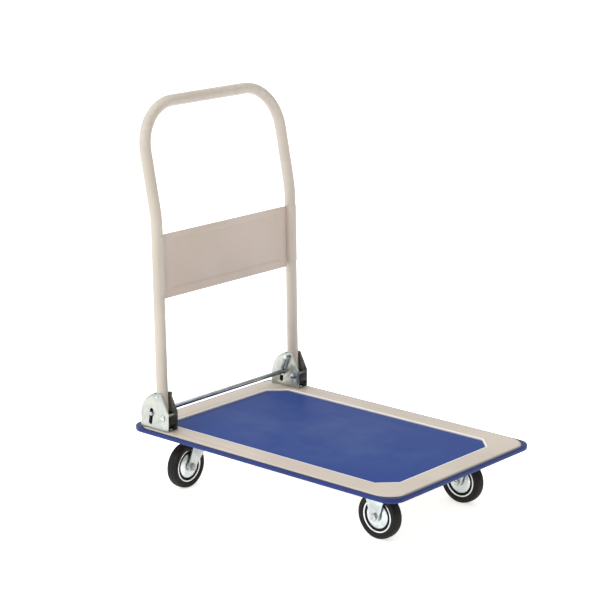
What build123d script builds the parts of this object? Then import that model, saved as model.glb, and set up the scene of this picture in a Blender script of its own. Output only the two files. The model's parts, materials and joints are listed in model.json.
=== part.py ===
from build123d import *
import os
from math import cos, radians, sin, sqrt, tan

# Folding platform cart, in millimetres. +Z is up and the floor is z = 0. +X points to the front
# of the cart and the handle stands at the rear, at -X. Left is +Y and right is -Y, as seen by the
# person who pushes it. The origin is on the floor, under the centre of the platform.

# Platform
platform_length = 740.0
platform_width = 480.0
platform_corner = 36.0
sheet = 1.5
rim_corner = 52.0
rim_roll = 8.0
rim_rise = 5.8
flange_depth = 11.3
bumper_wall = 3.5
bumper_drop = 2.5
bumper_height = 10.0
bumper_lip = 6.0
bumper_round = 2.0
mat_border_length = 59.5
mat_border_width = 58.5
mat_cut = 35.0
mat_thickness = 2.3
mat_gap = 1.2
stiffener_length = 640.0
stiffener_width = 40.0
stiffener_height = 12.0
stiffener_spacing = 120.0

# Casters
wheel_diameter = 100.0
wheel_width = 25.0
swivel_stack = 27.7
wheel_headroom = 10.0
caster_inset = 99.5
front_axle_x = 256.5
rear_pin_x = -258.0
trail = 39.0
right_swivel_angle = -88.0
left_swivel_angle = 180.0
plate_length = 95.0
plate_width = 70.0
plate_thickness = 2.5
plate_holes_x = 76.0
plate_holes_y = 54.0
plate_hole_radius = 4.5
stud_radius = 4.0
stud_length = 12.5
fork_steel = 2.5
fork_gap = 33.0
fork_bend = 5.0
fork_boss_radius = 11.0
front_leg_width = 62.0
swivel_crown_width = 50.0
kingpin_radius = 6.0
ball_radius = 3.15
ball_circle = 19.0
ball_count = 12
race_outer = 25.0
cup_outer = 27.6
hub_radius = 9.0
axle_radius = 4.0
rim_radius = 36.2
rim_steel = 1.5

# Hinge brackets, measured from the pivot axis
pivot_from_rear = 95.5
pivot_height = 29.5
bracket_inset = 26.0
tube_side_gap = 1.3
bracket_steel = 2.5
bracket_front = 16.8
bracket_slant_height = 13.5
bracket_arc = 60.0
bracket_arc_back = 10.5
bracket_arc_drop = 6.5
bracket_top_front = 4.0
bracket_edge_round = 6.0
bracket_screw_pitch = 29.0
stud_back = 16.5
stud_up = 44.0
pivot_bolt_radius = 4.0
sleeve_radius = 5.5

# Fasteners
screw_radius = 3.0
screw_hole_radius = 3.1
screw_head_radius = 5.5
screw_head_height = 3.0
screw_nut_flats = 10.0
screw_nut_height = 5.0
screw_end = 1.5
pivot_head_radius = 6.5
pivot_head_height = 4.0
nut_flats = 13.0
pivot_nut_height = 5.0
pivot_dome_radius = 6.0
pivot_dome_height = 4.0
stud_shank_radius = 2.5
stud_barrel_radius = 3.0
stud_flange_radius = 5.0
stud_flange_start = 11.0
stud_flange_thickness = 2.0
rivet_head_radius = 4.5
rivet_head_height = 2.0
axle_head_height = 5.3
axle_end = 8.5
washer_radius = 8.0
washer_thickness = 1.2
axle_nut_height = 5.6
caster_nut_height = 6.5
clip_wall = 3.5
clip_thickness = 1.2
spring_inset = 6.5
spring_wire = 1.2
spring_outer = 4.5
hook_length = 2.3

# Foot bar
bar_radius = 5.0
bar_rail_gap = 1.1
bar_up = 4.0
bar_travel = 19.0
bar_tilt = 9.0
slot_lead = 8.0
bar_overhang = 3.5

# Handle
tube_radius = 12.7
tube_wall = 1.5
tube_pivot_gap = 2.9
lower_lean = 1.2
upper_lean = 11.5
bend_height = 600.0
grip_height = 836.0
bend_radius = 320.0
corner_radius = 100.0
panel_bottom = 421.5
panel_height = 141.0
panel_sheet = 1.2
panel_hem = 12.0
panel_wrap = 117.0
flange_short = 13.0
foot_radius = 20.0
plug_length = 24.0
plug_root = 2.0

# Clearances
running = 0.05
free_gap = 0.3
hole_gap = 0.1

# Places that follow from the sizes above
mat_length = platform_length - 2 * mat_border_length
mat_width = platform_width - 2 * mat_border_width
bracket_spacing = platform_width - 2 * bracket_inset
caster_height = wheel_diameter + swivel_stack
swivel_crown_height = wheel_diameter + wheel_headroom + fork_steel
cheek_gap = 2 * (tube_radius + tube_side_gap)
tube_back = tube_radius + tube_pivot_gap
bar_back = tube_back + tube_radius + bar_rail_gap + bar_radius
tube_end_up = sleeve_radius + 1.0
floor_top = caster_height + sheet
rim_top = floor_top + rim_rise
flange_bottom = rim_top - flange_depth
bumper_top = rim_top - bumper_drop
bumper_bottom = bumper_top - bumper_height
shell_length = platform_length - 2 * bumper_wall
shell_width = platform_width - 2 * bumper_wall
caster_y = platform_width / 2 - caster_inset
wheel_radius = wheel_diameter / 2
plate_bottom = caster_height - plate_thickness
fork_half = fork_gap / 2 + fork_steel
pivot_x = pivot_from_rear - platform_length / 2
pivot_z = rim_top + pivot_height
tube_y = bracket_spacing / 2
cheek_inner = cheek_gap / 2
cheek_outer = cheek_inner + bracket_steel
base_top = rim_top + bracket_steel
tube_x = pivot_x - tube_back
tube_end = pivot_z + tube_end_up
bar_x = pivot_x - bar_back
bar_z = pivot_z + bar_up
stud_x = pivot_x - stud_back
stud_z = pivot_z + stud_up
screw_x = [pivot_x - 23.0 + step * bracket_screw_pitch for step in (-1, 0, 1)]
sides = {"left": 1, "right": -1}

os.makedirs("parts", exist_ok=True)


def save(piece, name):
    """Label a finished piece and write its STEP file."""
    piece.part.label = name
    export_step(piece.part, f"parts/{name}.step")


def cut_corner_outline(margin):
    """The mat's outline, moved out by a margin all round."""
    with BuildSketch() as outline:
        Rectangle(mat_length + 2 * margin, mat_width + 2 * margin)
        chamfer(outline.vertices(), mat_cut + margin * (2 - sqrt(2)))
    return outline.sketch


def hexagon(across_flats):
    """A hexagon sketched by its distance across flats."""
    return RegularPolygon(across_flats / sqrt(3), 6)


# ---------------------------------------------------------------- platform
# The deck is one pressing: a rolled rim with a short flange, and a shallow recess for the mat.
with BuildPart() as deck_tray:
    with BuildSketch(Plane.XY.offset(flange_bottom)):
        RectangleRounded(shell_length, shell_width, rim_corner)
    extrude(amount=flange_depth)
    fillet(deck_tray.edges().group_by(Axis.Z)[-1], rim_roll)
    offset(amount=-sheet, openings=deck_tray.faces().sort_by(Axis.Z)[0])
    with BuildSketch(Plane.XY.offset(caster_height)):
        add(cut_corner_outline(mat_gap + sheet))
    extrude(amount=rim_top - sheet / 2 - caster_height)
    with BuildSketch(Plane.XY.offset(floor_top)):
        add(cut_corner_outline(mat_gap))
    extrude(amount=rim_rise + sheet, mode=Mode.SUBTRACT)
    recess_mouth = [
        edge
        for edge in deck_tray.edges().group_by(Axis.Z)[-1]
        if abs(edge.center().X) < mat_length / 2 + 2 * mat_gap
        and abs(edge.center().Y) < mat_width / 2 + 2 * mat_gap
    ]
    fillet(recess_mouth, sheet * 0.6)
    with Locations(*[(x, side * tube_y, rim_top) for x in screw_x for side in (1, -1)]):
        Hole(screw_hole_radius, depth=2 * sheet)
save(deck_tray, "deck_tray")

# Two hat channels stiffen the floor of the deck.
with BuildPart() as deck_stiffeners:
    with BuildSketch(Plane.YZ.offset(-stiffener_length / 2)):
        with Locations(*[(side * stiffener_spacing / 2, caster_height) for side in (1, -1)]):
            Rectangle(stiffener_width, stiffener_height, align=(Align.CENTER, Align.MAX))
            Rectangle(
                stiffener_width - 2 * sheet,
                stiffener_height - sheet,
                align=(Align.CENTER, Align.MAX),
                mode=Mode.SUBTRACT,
            )
            Rectangle(stiffener_width + 24.0, sheet, align=(Align.CENTER, Align.MAX))
    extrude(amount=stiffener_length)
save(deck_stiffeners, "deck_stiffeners")

# The vinyl bumper follows the rolled rim and is thicker round the corners.
with BuildPart() as rim_block:
    with BuildSketch(Plane.XY.offset(flange_bottom)):
        RectangleRounded(shell_length, shell_width, rim_corner)
    extrude(amount=flange_depth)
    fillet(rim_block.edges().group_by(Axis.Z)[-1], rim_roll)
with BuildPart() as edge_bumper:
    with BuildSketch(Plane.XY.offset(bumper_bottom)):
        RectangleRounded(platform_length, platform_width, platform_corner)
    extrude(amount=bumper_height)
    fillet(edge_bumper.edges().group_by(Axis.Z)[-1], bumper_round)
    fillet(edge_bumper.edges().group_by(Axis.Z)[0], bumper_round)
    add(rim_block.part, mode=Mode.SUBTRACT)
    with BuildSketch(Plane.XY.offset(bumper_bottom)):
        RectangleRounded(
            shell_length - 2 * bumper_lip, shell_width - 2 * bumper_lip, rim_corner - bumper_lip
        )
    extrude(amount=bumper_height, mode=Mode.SUBTRACT)
save(edge_bumper, "edge_bumper")

with BuildPart() as deck_mat:
    with BuildSketch(Plane.XY.offset(floor_top)):
        add(cut_corner_outline(0))
    extrude(amount=mat_thickness)
    chamfer(deck_mat.edges().group_by(Axis.Z)[-1], 0.5)
save(deck_mat, "deck_mat")


# ---------------------------------------------------------------- hinge brackets
arc_x = pivot_x - bracket_arc_back
arc_z = pivot_z - bracket_arc_drop
front_x = pivot_x + bracket_front
top_front_x = pivot_x - bracket_top_front
wall_end_x = tube_x - tube_radius - 1.6


def arc_point(x, radius):
    """A point on the bracket's curved back, at a given x."""
    return (x, arc_z + sqrt(radius**2 - (x - arc_x) ** 2))


def back_arc(radius, end_x):
    """The curved back from its lowest point up and over to end_x."""
    middle = arc_x - radius * cos(radians(45))
    return ThreePointArc(
        (arc_x - radius, arc_z), arc_point(middle, radius), arc_point(end_x, radius)
    )


def slot_frame():
    """Centre and length of the slot that guides the foot bar, and its tilt."""
    along = (bar_travel - slot_lead) / 2
    centre_x = bar_x - along * sin(radians(bar_tilt))
    centre_z = bar_z - along * cos(radians(bar_tilt))
    return centre_x, centre_z, bar_travel + slot_lead


def hinge_bracket(side):
    """A pressed cup of two cheeks, a curved back and a base, open to the front and the top."""
    middle = Plane.XZ.offset(-side * tube_y)
    inner_arc = bracket_arc - bracket_steel
    with BuildPart() as cavity:
        with BuildSketch(middle):
            with BuildLine():
                rise = back_arc(inner_arc, wall_end_x)
                Polyline(
                    rise @ 1,
                    (wall_end_x, arc_z + bracket_arc + 9),
                    (front_x + 5, arc_z + bracket_arc + 9),
                    (front_x + 5, base_top),
                    (arc_x - inner_arc, base_top),
                    rise @ 0,
                )
            make_face()
        extrude(amount=cheek_inner, both=True)
        bent = cavity.edges().filter_by(GeomType.CIRCLE)
        fillet(bent, bracket_edge_round - bracket_steel)
    with BuildPart() as bracket:
        with BuildSketch(middle):
            with BuildLine():
                rise = back_arc(bracket_arc, top_front_x)
                Polyline(
                    rise @ 1,
                    (front_x, pivot_z + bracket_slant_height),
                    (front_x, rim_top),
                    (arc_x - bracket_arc, rim_top),
                    rise @ 0,
                )
            make_face()
        extrude(amount=cheek_outer, both=True)
        corners = bracket.edges().filter_by(Axis.Y)
        fillet([e for e in corners if e.center().Z > pivot_z + bracket_slant_height + 5], 3.0)
        fillet([e for e in corners if abs(e.center().Z - pivot_z) < 20], 6.0)
        back = bracket.edges().filter_by(GeomType.CIRCLE)
        fillet([e for e in back if abs(e.radius - bracket_arc) < 0.01], bracket_edge_round)
        add(cavity.part, mode=Mode.SUBTRACT)
        slot_x, slot_z, slot_run = slot_frame()
        with BuildSketch(middle):
            with Locations((slot_x, slot_z)):
                SlotCenterToCenter(slot_run, 2 * (bar_radius + free_gap), rotation=90 - bar_tilt)
            with Locations((pivot_x, pivot_z)):
                Circle(pivot_bolt_radius + hole_gap)
            with Locations((stud_x, stud_z)):
                Circle(stud_shank_radius)
        extrude(amount=cheek_outer, both=True, mode=Mode.SUBTRACT)
        with Locations(*[(x, side * tube_y, base_top) for x in screw_x]):
            Hole(screw_hole_radius, depth=2 * bracket_steel)
    return bracket


for name, side in sides.items():
    save(hinge_bracket(side), f"{name}_hinge_bracket")

# Round-head screws hold each bracket's base to the deck, with nuts below the sheet.
screw_places = [(x, side * tube_y) for x in screw_x for side in (1, -1)]
nut_top = rim_top - sheet
with BuildPart() as bracket_screws:
    with BuildSketch(Plane.XY.offset(base_top)):
        with Locations(*screw_places):
            Circle(screw_head_radius)
    extrude(amount=screw_head_height)
    fillet(bracket_screws.edges().group_by(Axis.Z)[-1], 2.0)
    with BuildSketch(Plane.XY.offset(base_top)):
        with Locations(*screw_places):
            Circle(screw_radius)
    extrude(amount=-(base_top - nut_top + screw_nut_height + screw_end))
save(bracket_screws, "bracket_screws")

with BuildPart() as bracket_nuts:
    with BuildSketch(Plane.XY.offset(nut_top)):
        with Locations(*screw_places):
            hexagon(screw_nut_flats)
        with Locations(*screw_places):
            Circle(screw_radius + running, mode=Mode.SUBTRACT)
    extrude(amount=-screw_nut_height)
save(bracket_nuts, "bracket_nuts")


def across(side, start):
    """Plane across a bracket, start mm outboard of its middle, facing outboard."""
    return Plane(origin=(0, side * (tube_y + start), 0), x_dir=(side, 0, 0), z_dir=(0, side, 0))


def turned(plane, x, z):
    """Sketch coordinates on an across() plane for a point given by its x and z."""
    local = plane.to_local_coords(Vector(x, plane.origin.Y, z))
    return (local.X, local.Y)


# The handle turns on a sleeve clamped between the cheeks by a bolt and a domed nut.
with BuildPart() as pivot_bolts:
    for side in sides.values():
        face = across(side, cheek_outer)
        with BuildSketch(face):
            with Locations(turned(face, pivot_x, pivot_z)):
                Circle(pivot_head_radius)
        extrude(amount=pivot_head_height)
    fillet(pivot_bolts.edges().filter_by(lambda e: abs(e.center().Y) > tube_y + cheek_outer + 1), 2.5)
    for side in sides.values():
        face = across(side, cheek_outer)
        with BuildSketch(face):
            with Locations(turned(face, pivot_x, pivot_z)):
                Circle(pivot_bolt_radius)
        extrude(amount=-(2 * cheek_outer + 6.0))
save(pivot_bolts, "pivot_bolts")

with BuildPart() as pivot_sleeves:
    for side in sides.values():
        face = across(side, -cheek_inner + hole_gap)
        with BuildSketch(face):
            with Locations(turned(face, pivot_x, pivot_z)):
                Circle(sleeve_radius)
                Circle(pivot_bolt_radius + running, mode=Mode.SUBTRACT)
        extrude(amount=cheek_gap - 2 * hole_gap)
save(pivot_sleeves, "pivot_sleeves")

with BuildPart() as pivot_nuts:
    for side in sides.values():
        face = across(side, -cheek_outer)
        with BuildSketch(face):
            with Locations(turned(face, pivot_x, pivot_z)):
                hexagon(nut_flats)
        extrude(amount=-pivot_nut_height)
        with BuildSketch(face):
            with Locations(turned(face, pivot_x, pivot_z)):
                Circle(pivot_dome_radius)
        extrude(amount=-(pivot_nut_height + pivot_dome_height))
        with BuildSketch(face):
            with Locations(turned(face, pivot_x, pivot_z)):
                Circle(pivot_bolt_radius + running)
        extrude(amount=-7.0, mode=Mode.SUBTRACT)
    fillet(pivot_nuts.edges().filter_by(lambda e: abs(e.center().Y) < tube_y - cheek_outer - 8.5), 3.0)
save(pivot_nuts, "pivot_nuts")

# Studs on the inner cheeks carry the springs, and rivets fill the same holes outboard.
with BuildPart() as spring_studs:
    for side in sides.values():
        face = across(side, -cheek_inner - hole_gap)
        spot = turned(face, stud_x, stud_z)
        for radius, start, length in (
            (stud_shank_radius, 0.0, bracket_steel + 1.5),
            (stud_barrel_radius, bracket_steel - hole_gap, 9.0),
            (stud_flange_radius, stud_flange_start, stud_flange_thickness),
        ):
            with BuildSketch(face.offset(-start)):
                with Locations(spot):
                    Circle(radius)
            extrude(amount=-length)
save(spring_studs, "spring_studs")

with BuildPart() as cheek_rivets:
    for side in sides.values():
        face = across(side, cheek_outer)
        with BuildSketch(face):
            with Locations(turned(face, stud_x, stud_z)):
                Circle(rivet_head_radius)
        extrude(amount=rivet_head_height)
    fillet(cheek_rivets.edges().filter_by(lambda e: abs(e.center().Y) > tube_y + cheek_outer + 1), 1.5)
    for side in sides.values():
        face = across(side, cheek_outer)
        with BuildSketch(face):
            with Locations(turned(face, stud_x, stud_z)):
                Circle(stud_shank_radius)
        extrude(amount=-(bracket_steel - hole_gap))
save(cheek_rivets, "cheek_rivets")


# ---------------------------------------------------------------- foot bar and springs
bar_half = tube_y + cheek_outer + bar_overhang
clip_face = tube_y - cheek_outer - free_gap
with BuildPart() as foot_bar:
    with BuildSketch(Plane.XZ.offset(-bar_half)):
        with Locations((bar_x, bar_z)):
            Circle(bar_radius)
    extrude(amount=2 * bar_half)
    chamfer(foot_bar.edges().group_by(Axis.Y)[-1], 1.0)
    chamfer(foot_bar.edges().group_by(Axis.Y)[0], 1.0)
save(foot_bar, "foot_bar")

with BuildPart() as bar_clips:
    for side in sides.values():
        with BuildSketch(Plane(origin=(bar_x, side * clip_face, bar_z), z_dir=(0, -side, 0))):
            Circle(bar_radius + clip_wall)
            Circle(bar_radius, mode=Mode.SUBTRACT)
        extrude(amount=clip_thickness)
save(bar_clips, "bar_clips")

spring_y = tube_y - cheek_outer - spring_inset


def return_spring(side):
    """A tension spring: a coiled body with a loop round the bar and a loop round the stud."""
    foot = Vector(bar_x, side * spring_y, bar_z)
    head = Vector(stud_x, side * spring_y, stud_z)
    along = (head - foot).normalized()
    foot_loop = bar_radius + hole_gap + spring_wire / 2
    head_loop = stud_barrel_radius + hole_gap + spring_wire / 2
    with BuildPart() as spring:
        start = foot + along * (foot_loop + hook_length)
        length = (head - foot).length - foot_loop - head_loop - 2 * hook_length
        with BuildSketch(Plane(origin=start, z_dir=along)):
            Circle(spring_outer)
        extrude(amount=length)
        with BuildSketch(Plane(origin=start + along * spring_wire, z_dir=along)):
            Circle(spring_outer - spring_wire)
        extrude(amount=length - 2 * spring_wire, mode=Mode.SUBTRACT)
        for centre, way, loop in ((foot, along, foot_loop), (head, -along, head_loop)):
            with BuildSketch(Plane(origin=centre, x_dir=way, z_dir=way.cross(Vector(0, 1, 0)))):
                with Locations((loop, 0)):
                    Circle(spring_wire / 2)
            revolve(axis=Axis(centre, (0, 1, 0)))
            with BuildSketch(Plane(origin=centre + way * loop, z_dir=way)):
                Circle(spring_wire / 2)
            extrude(amount=hook_length + spring_wire * 0.4)
    return spring


for name, side in sides.items():
    save(return_spring(side), f"{name}_return_spring")


# ---------------------------------------------------------------- handle
lower_x = sin(radians(lower_lean))
lower_z = cos(radians(lower_lean))
bend_x = tube_x - (bend_height - tube_end) * tan(radians(lower_lean))
grip_x = bend_x - (grip_height - bend_height) * tan(radians(upper_lean))
left_rail = [(tube_x, tube_y, tube_end), (bend_x, tube_y, bend_height), (grip_x, tube_y, grip_height)]
right_rail = [(x, -y, z) for x, y, z in reversed(left_rail)]
rivet_up = 12.0

# One tube, bent into a hoop whose upper part leans back towards the person.
with BuildPart() as handle_tube:
    with BuildLine() as hoop:
        FilletPolyline(
            *left_rail, *right_rail, radius=[bend_radius, corner_radius, corner_radius, bend_radius]
        )
    with BuildSketch(Plane(origin=hoop.line @ 0, z_dir=hoop.line % 0)):
        Circle(tube_radius)
        Circle(tube_radius - tube_wall, mode=Mode.SUBTRACT)
    sweep(path=hoop.line)
    with BuildSketch(Plane.YZ.offset(tube_x)):
        with Locations(*[(side * tube_y, tube_end + rivet_up) for side in sides.values()]):
            Circle(2.0)
    extrude(amount=-2 * tube_radius, mode=Mode.SUBTRACT)
save(handle_tube, "handle_tube")

# A steel sheet between the rails, with hemmed edges and flanges wrapped round the rails' fronts.
panel_x = tube_x - (panel_bottom - tube_end) * tan(radians(lower_lean))
panel_plane = Plane(
    origin=(panel_x, 0, panel_bottom), x_dir=(0, -1, 0), z_dir=(-lower_x, 0, lower_z)
)
wrap_inner = tube_radius + running
wrap_outer = wrap_inner + panel_sheet
web_half = tube_y - tube_radius - running - panel_sheet / 4
with BuildPart() as handle_panel:
    with BuildSketch(panel_plane):
        Rectangle(2 * web_half, panel_sheet)
        for side in sides.values():
            start = 180 - panel_wrap if side > 0 else 0
            with BuildLine():
                outer = CenterArc((side * tube_y, 0), wrap_outer, start, panel_wrap)
                inner = CenterArc((side * tube_y, 0), wrap_inner, start, panel_wrap)
                Line(outer @ 0, inner @ 0)
                Line(outer @ 1, inner @ 1)
            make_face()
    extrude(amount=panel_height)
    hem_width = 2 * (web_half - 14)
    for start in (0.0, panel_height - panel_hem):
        with BuildSketch(panel_plane.offset(start)):
            with Locations((0, -panel_sheet)):
                Rectangle(hem_width, panel_sheet)
        extrude(amount=panel_hem)
    for side in sides.values():
        with BuildSketch(panel_plane):
            with Locations((side * tube_y, wrap_outer / 2 + panel_sheet / 2 + running)):
                Rectangle(2 * wrap_outer + 6, wrap_outer)
        extrude(amount=flange_short, mode=Mode.SUBTRACT)
        with BuildSketch(panel_plane):
            with Locations((side * (web_half - 2), 0)):
                Rectangle(6.0, 3 * panel_sheet)
        extrude(amount=7.0, mode=Mode.SUBTRACT)
        with BuildSketch(panel_plane.offset(panel_height - 5.0)):
            with Locations((side * (web_half - 1), 0)):
                Rectangle(8.0, 4.0)
        extrude(amount=5.0, mode=Mode.SUBTRACT)
save(handle_panel, "handle_panel")


def handle_foot(side):
    """A moulded foot: a plug inside the rail and a saddle that hugs the pivot sleeve."""
    middle = Plane.XZ.offset(-side * tube_y)
    top = tube_end - tube_radius * sin(radians(lower_lean)) - hole_gap
    rear_x = tube_x - tube_radius + 0.2
    low = [
        (
            pivot_x + foot_radius * cos(radians(angle)),
            pivot_z + foot_radius * sin(radians(angle)),
        )
        for angle in (215, 270, 330)
    ]
    with BuildPart() as foot:
        with BuildSketch(middle):
            with BuildLine():
                Line((rear_x, top), low[0])
                ThreePointArc(*low)
                Polyline(
                    low[2], (pivot_x + 14.5, pivot_z + 1.5), (pivot_x, pivot_z + 1.5),
                    (pivot_x, top), (rear_x, top),
                )
            make_face()
            with Locations((pivot_x, pivot_z)):
                Circle(sleeve_radius + running, mode=Mode.SUBTRACT)
        extrude(amount=cheek_inner - 1.0, both=True)
        rail = Plane(origin=(tube_x, side * tube_y, tube_end), z_dir=(-lower_x, 0, lower_z))
        with BuildSketch(rail.offset(-plug_root)):
            Circle(tube_radius - tube_wall - hole_gap)
        extrude(amount=plug_length + plug_root)
        with BuildSketch(Plane.YZ.offset(tube_x)):
            with Locations((side * tube_y, tube_end + rivet_up)):
                Circle(2.0)
        extrude(amount=-2 * tube_radius, mode=Mode.SUBTRACT)
    return foot


for name, side in sides.items():
    save(handle_foot(side), f"{name}_foot")

rivet_x = tube_x - tube_radius - rivet_up * tan(radians(lower_lean)) - hole_gap
with BuildPart() as foot_rivets:
    with BuildSketch(Plane.YZ.offset(rivet_x)):
        with Locations(*[(side * tube_y, tube_end + rivet_up) for side in sides.values()]):
            Circle(4.0)
    extrude(amount=-1.4)
    fillet(foot_rivets.edges().group_by(Axis.X)[0], 0.8)
    with BuildSketch(Plane.YZ.offset(rivet_x)):
        with Locations(*[(side * tube_y, tube_end + rivet_up) for side in sides.values()]):
            Circle(1.95)
    extrude(amount=8.0)
save(foot_rivets, "foot_rivets")


# ---------------------------------------------------------------- casters
caster_places = [
    (x, side * caster_y) for x in (front_axle_x, rear_pin_x) for side in (1, -1)
]
corner_places = [
    (x + dx * plate_holes_x / 2, y + dy * plate_holes_y / 2)
    for x, y in caster_places
    for dx in (1, -1)
    for dy in (1, -1)
]

# Studs welded under the deck carry the caster plates, so that none shows through the mat.
with BuildPart() as caster_studs:
    with BuildSketch(Plane.XY.offset(caster_height)):
        with Locations(*corner_places):
            Circle(stud_radius)
    extrude(amount=-stud_length)
save(caster_studs, "caster_studs")

with BuildPart() as caster_nuts:
    with BuildSketch(Plane.XY.offset(plate_bottom)):
        with Locations(*corner_places):
            hexagon(nut_flats)
        with Locations(*corner_places):
            Circle(stud_radius + running, mode=Mode.SUBTRACT)
    extrude(amount=-caster_nut_height)
save(caster_nuts, "caster_nuts")


class Station:
    """Where one caster stands: its pin or plate centre, and the way its wheel trails."""

    def __init__(self, x, y, heading, reach):
        self.pin = Vector(x, y, 0)
        self.back = Vector(cos(radians(heading)), sin(radians(heading)), 0)
        self.axle = Vector(0, 0, 1).cross(self.back)
        self.hub = self.pin + self.back * reach + Vector(0, 0, wheel_radius)

    def across(self):
        """Sketch plane across the fork: x runs along the axle and y runs up."""
        return Plane(origin=self.pin, x_dir=self.axle, z_dir=self.back)

    def along(self):
        """Sketch plane along the fork: x runs the way the wheel trails and y runs up."""
        return Plane(origin=self.pin, x_dir=self.back, z_dir=-self.axle)

    def radial(self):
        """Sketch plane through the axle: x is the radius, straight up, and y runs along it."""
        up = Vector(0, 0, 1)
        return Plane(origin=self.hub, x_dir=up, z_dir=up.cross(self.axle))

    def axle_line(self):
        return Axis(self.hub, self.axle)

    def pin_line(self):
        return Axis(self.pin, (0, 0, 1))


def axle_hole(station):
    """What is cut away for the axle through both legs of a fork."""
    with BuildPart() as hole:
        with BuildSketch(Plane(origin=station.hub, z_dir=station.axle)):
            Circle(axle_radius + hole_gap)
        extrude(amount=2 * fork_half, both=True)
    return hole.part


def fork_strap(station, crown_top, crown_width, reach):
    """A strap bent into an upside-down U and cut to the fork's side view."""
    top = (Align.CENTER, Align.MAX)
    with BuildPart() as strap:
        with BuildSketch(station.across().offset(-2 * crown_width)):
            with Locations((0, crown_top)):
                RectangleRounded(2 * fork_half, crown_top, fork_bend, align=top)
            with Locations((0, crown_top - fork_steel)):
                RectangleRounded(
                    fork_gap, 2 * crown_top, fork_bend - fork_steel, align=top, mode=Mode.SUBTRACT
                )
        extrude(amount=4 * crown_width)
        with BuildSketch(station.along()):
            with Locations((reach, wheel_radius)):
                Circle(fork_boss_radius)
            with Locations((0, crown_top - 6)):
                Rectangle(crown_width, 12.0)
            make_hull()
        extrude(amount=2 * fork_half, both=True, mode=Mode.INTERSECT)
    return strap.part


def mounting_plate(station):
    """A rounded plate under the deck, with a hole at each corner."""
    with BuildPart() as plate:
        with BuildSketch(Plane(origin=station.pin).offset(plate_bottom)):
            RectangleRounded(plate_length, plate_width, 8.0)
            with GridLocations(plate_holes_x, plate_holes_y, 2, 2):
                Circle(plate_hole_radius, mode=Mode.SUBTRACT)
        extrude(amount=plate_thickness)
    return plate.part


def front_fork(station):
    """Fixed fork: a bent strap welded under its mounting plate."""
    strap = fork_strap(station, plate_bottom, front_leg_width, 0.0)
    plate = mounting_plate(station)
    hole = axle_hole(station)
    with BuildPart() as fork:
        add(strap)
        add(plate)
        add(hole, mode=Mode.SUBTRACT)
    return fork


def swivel_fork(station):
    """Swivel fork: the strap's crown turns round the kingpin and its legs trail behind."""
    strap = fork_strap(station, swivel_crown_height, swivel_crown_width, trail)
    hole = axle_hole(station)
    with BuildPart() as fork:
        add(strap)
        add(hole, mode=Mode.SUBTRACT)
        with BuildSketch(Plane(origin=station.pin)):
            Circle(kingpin_radius + running)
        extrude(amount=2 * caster_height, mode=Mode.SUBTRACT)
    return fork


race_bottom = plate_bottom - 2.5
cup_top = swivel_crown_height + 5.8
ball_z = (race_bottom + cup_top) / 2


def ball_track(station):
    """The ring-shaped space that the balls run in."""
    with BuildPart() as track:
        with BuildSketch(station.along()):
            with Locations((ball_circle, ball_z)):
                Circle(ball_radius + running)
        revolve(axis=station.pin_line())
    return track.part


def top_plate(station):
    """Mounting plate with the upper ball race pressed into it and a seat for the kingpin."""
    blank = mounting_plate(station)
    track = ball_track(station)
    with BuildPart() as plate:
        add(blank)
        with BuildSketch(Plane(origin=station.pin).offset(race_bottom)):
            Circle(race_outer)
        extrude(amount=plate_bottom - race_bottom)
        with BuildSketch(Plane(origin=station.pin).offset(race_bottom)):
            Circle(kingpin_radius)
        extrude(amount=plate_thickness * 3, mode=Mode.SUBTRACT)
        with BuildSketch(Plane(origin=station.pin).offset(caster_height - 2.0)):
            Circle(9.0)
        extrude(amount=3.0, mode=Mode.SUBTRACT)
        add(track, mode=Mode.SUBTRACT)
    return plate


def kingpin(station):
    """A headed pin riveted through the top plate, with a collar under the fork's crown."""
    collar_top = swivel_crown_height - fork_steel - hole_gap
    with BuildPart() as pin:
        for radius, top, length in (
            (8.8, caster_height - hole_gap, 1.9),
            (kingpin_radius, caster_height - hole_gap, caster_height - collar_top + 3.0),
            (9.5, collar_top, 3.5),
        ):
            with BuildSketch(Plane(origin=station.pin).offset(top)):
                Circle(radius)
            extrude(amount=-length)
        chamfer(pin.edges().group_by(Axis.Z)[0], 1.0)
    return pin


def race_cup(station):
    """Lower ball race with a raised skirt that keeps dust out of the balls."""
    track = ball_track(station)
    with BuildPart() as cup:
        with BuildSketch(station.along()):
            with BuildLine():
                Polyline(
                    (kingpin_radius + running, swivel_crown_height),
                    (cup_outer, swivel_crown_height),
                    (cup_outer, plate_bottom - 1.0),
                    (race_outer + 1.0, plate_bottom - 1.0),
                    (race_outer + 1.0, cup_top),
                    (kingpin_radius + running, cup_top),
                    close=True,
                )
            make_face()
        revolve(axis=station.pin_line())
        add(track, mode=Mode.SUBTRACT)
    return cup


def ball_ring(station):
    """The loose balls of the swivel."""
    with BuildPart() as balls:
        with Locations(Plane(origin=station.pin).offset(ball_z)):
            with PolarLocations(ball_circle, ball_count):
                Sphere(ball_radius)
    return balls


def axle_bolt(station):
    """Hexagon-head bolt through the fork and the hub."""
    inner = Plane(origin=station.hub - station.axle * fork_half, z_dir=station.axle)
    with BuildPart() as bolt:
        with BuildSketch(inner):
            hexagon(nut_flats)
        extrude(amount=-axle_head_height)
        with BuildSketch(inner):
            Circle(axle_radius)
        extrude(amount=2 * fork_half + axle_end)
        chamfer(bolt.edges().sort_by(Axis(inner.origin, inner.z_dir))[-1], 0.8)
    return bolt


def axle_nut(station):
    """Nut with a washer face on the axle's threaded end."""
    outer = Plane(origin=station.hub + station.axle * fork_half, z_dir=station.axle)
    with BuildPart() as nut:
        with BuildSketch(outer):
            Circle(washer_radius)
        extrude(amount=washer_thickness)
        with BuildSketch(outer.offset(washer_thickness)):
            hexagon(nut_flats)
        extrude(amount=axle_nut_height)
        with BuildSketch(outer):
            Circle(axle_radius + running)
        extrude(amount=7.0, mode=Mode.SUBTRACT)
    return nut


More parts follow.
